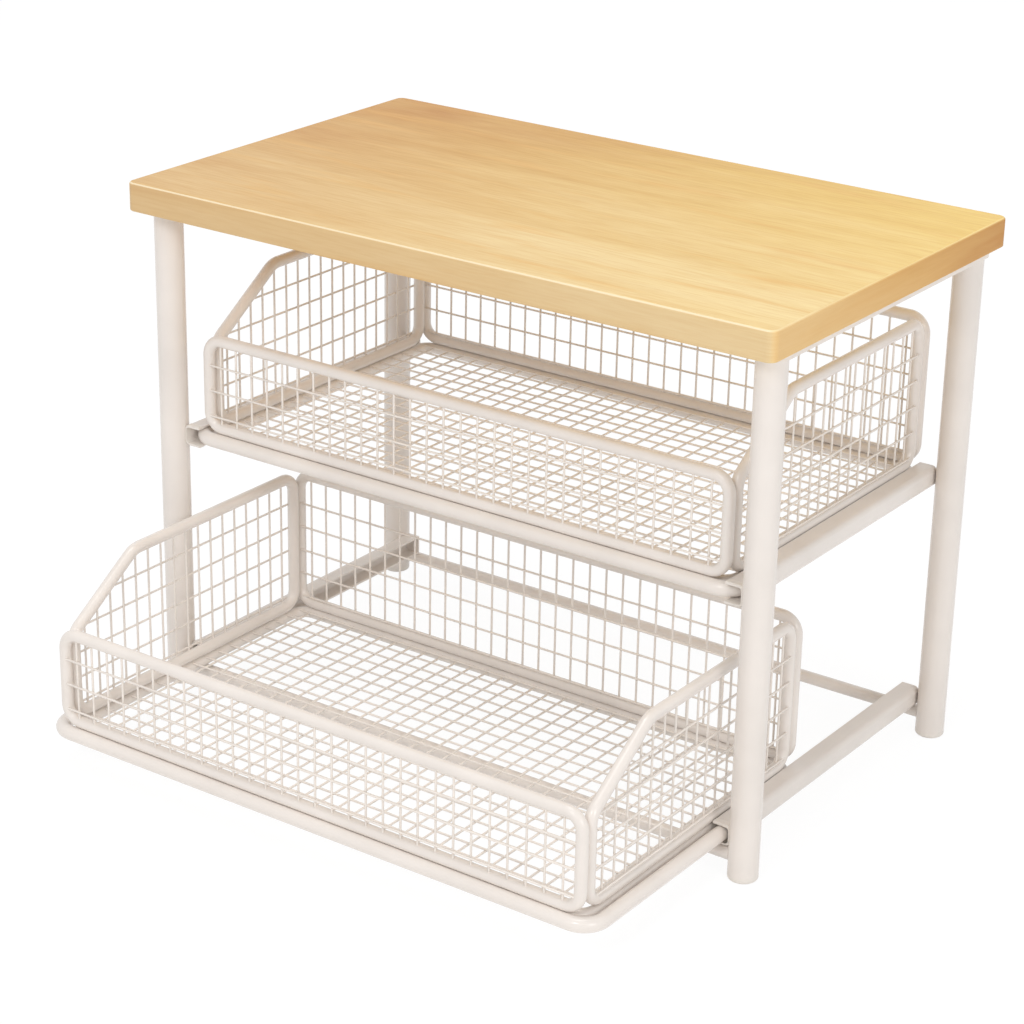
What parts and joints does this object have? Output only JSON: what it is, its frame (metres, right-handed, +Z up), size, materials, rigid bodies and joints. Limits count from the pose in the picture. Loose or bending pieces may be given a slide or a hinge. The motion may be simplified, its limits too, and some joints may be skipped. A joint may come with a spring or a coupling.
{
  "type": "coffee machine shelf",
  "caption": "Counter shelf with a wooden top on a white tube frame and sliding wire mesh drawers below, to stand a coffee machine on and store coffee things under.",
  "frame": {"origin": "on the counter, under the middle of the whole object with the lower drawer standing open as pictured", "axes": "+X to the right when facing the drawers, +Y towards the back, +Z up; drawers pull out along -Y"},
  "size_m": [0.4, 0.342, 0.298],
  "materials": {
    "wood_top": "satin lacquered light oak",
    "powder_coated_steel": "satin ivory white powder coat",
    "coated_wire": "satin ivory white powder coat",
    "moulded_plastic": "matt ivory white",
    "screw_steel": "zinc plated"
  },
  "bodies": {
    "stand": {"top_board": "wood_top", "board_strip_left": "powder_coated_steel", "board_strip_right": "powder_coated_steel", "board_screws": "screw_steel", "leg_front_left": "powder_coated_steel", "foot_cap_front_left": "moulded_plastic", "leg_front_right": "powder_coated_steel", "foot_cap_front_right": "moulded_plastic", "cross_tube_front": "powder_coated_steel", "leg_rear_left": "powder_coated_steel", "foot_cap_rear_left": "moulded_plastic", "leg_rear_right": "powder_coated_steel", "foot_cap_rear_right": "moulded_plastic", "cross_tube_rear": "powder_coated_steel", "lower_rail_left": "powder_coated_steel", "lower_rail_collar_left": "moulded_plastic", "lower_rail_right": "powder_coated_steel", "lower_rail_collar_right": "moulded_plastic", "upper_rail_left": "powder_coated_steel", "upper_rail_collar_left": "moulded_plastic", "upper_rail_right": "powder_coated_steel", "upper_rail_collar_right": "moulded_plastic"},
    "lower_drawer": {"lower_slider_frame": "powder_coated_steel", "lower_slider_end_caps": "moulded_plastic", "lower_floor_frame": "powder_coated_steel", "lower_floor_net": "coated_wire", "lower_front_frame": "powder_coated_steel", "lower_front_net": "coated_wire", "lower_back_frame": "powder_coated_steel", "lower_back_net": "coated_wire", "lower_left_side_frame": "powder_coated_steel", "lower_left_side_net": "coated_wire", "lower_right_side_frame": "powder_coated_steel", "lower_right_side_net": "coated_wire"},
    "upper_drawer": {"upper_slider_frame": "powder_coated_steel", "upper_slider_end_caps": "moulded_plastic", "upper_floor_frame": "powder_coated_steel", "upper_floor_net": "coated_wire", "upper_front_frame": "powder_coated_steel", "upper_front_net": "coated_wire", "upper_back_frame": "powder_coated_steel", "upper_back_net": "coated_wire", "upper_left_side_frame": "powder_coated_steel", "upper_left_side_net": "coated_wire", "upper_right_side_frame": "powder_coated_steel", "upper_right_side_net": "coated_wire"}
  },
  "joints": [
    {"name": "lower_drawer_slide", "type": "slide", "parent": "stand", "child": "lower_drawer", "axis": [0, -1, 0], "range_m": [-0.12, 0.03]},
    {"name": "upper_drawer_slide", "type": "slide", "parent": "stand", "child": "upper_drawer", "axis": [0, -1, 0], "range_m": [0, 0.15]}
  ]
}
